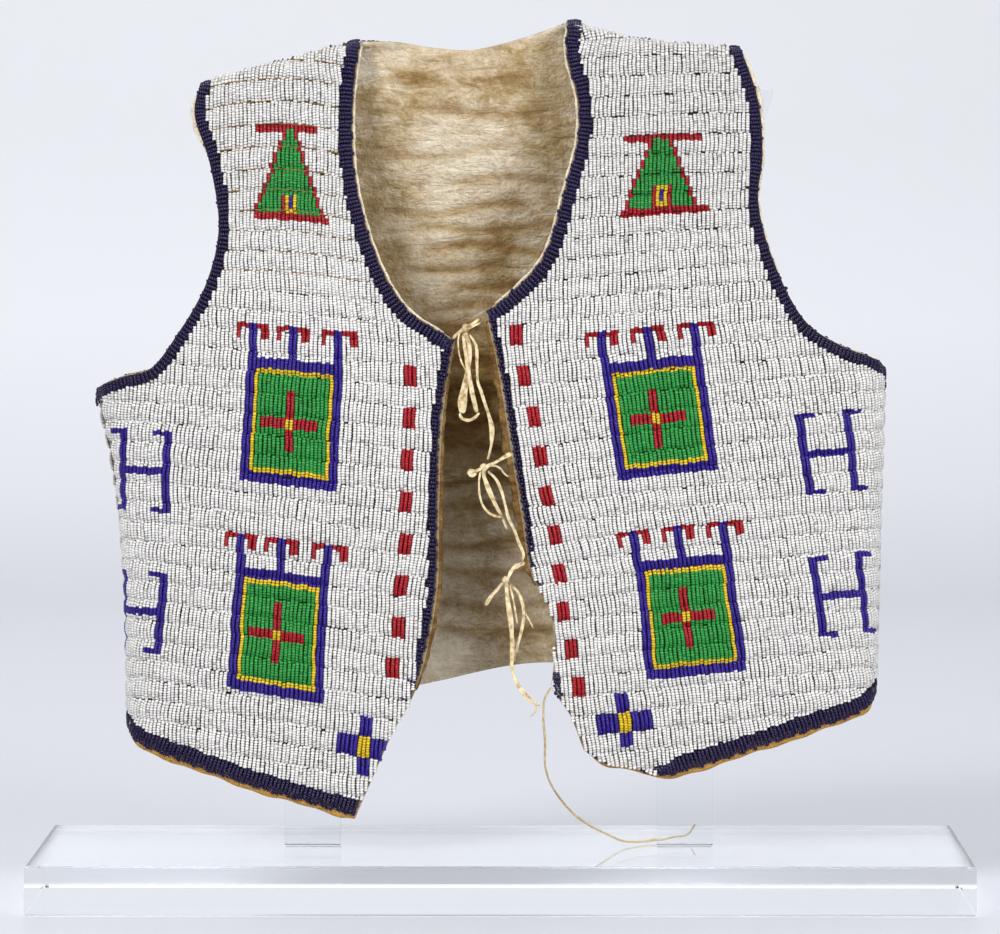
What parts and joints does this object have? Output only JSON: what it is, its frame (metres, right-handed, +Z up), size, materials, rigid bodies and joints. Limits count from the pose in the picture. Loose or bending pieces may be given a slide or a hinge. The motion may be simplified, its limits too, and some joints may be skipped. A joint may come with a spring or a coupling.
{
  "type": "beaded vest on a display stand",
  "caption": "Open-fronted hide vest covered in lanes of white seed beads with traditional figures, hanging from its shoulders on a clear acrylic display stand.",
  "frame": {"origin": "middle of the base slab's underside, where the stand rests", "axes": "+Z up, +X to the right of someone who faces the vest's front, +Y from its front to its back"},
  "size_m": [0.4, 0.15, 0.3777],
  "materials": {
    "beadwork": "opaque white glass seed beads sewn in raised lanes over hide, with a soft gloss",
    "edging": "very dark blue glass seed beads sewn over the hide's edge",
    "hide": "soft tanned suede, stained and creased",
    "thong": "stiff pale rawhide strips",
    "acrylic": "clear polished acrylic with bevelled edges"
  },
  "bodies": {
    "root": {"stand_base": "acrylic", "stand_bar_left": "acrylic", "stand_bar_right": "acrylic", "stand_upright_left": "acrylic", "stand_upright_right": "acrylic", "front_left": "beadwork", "front_left_edging_edge": "edging", "front_left_edging_hem": "edging", "front_left_edging_armhole": "edging", "front_right": "beadwork", "front_right_edging_edge": "edging", "front_right_edging_hem": "edging", "front_right_edging_armhole": "edging", "back": "beadwork", "back_edging_neck": "edging", "back_edging_hem": "edging", "back_edging_armhole_left": "edging", "back_edging_armhole_right": "edging", "tie_1_knot": "thong", "tie_1_bow": "thong", "tie_1_tail": "thong", "tie_2_knot": "thong", "tie_2_bow": "thong", "tie_2_tail": "thong", "tie_3_knot": "thong", "tie_3_bow": "thong", "tie_3_tail": "thong", "loose_thong": "thong"}
  },
  "joints": []
}
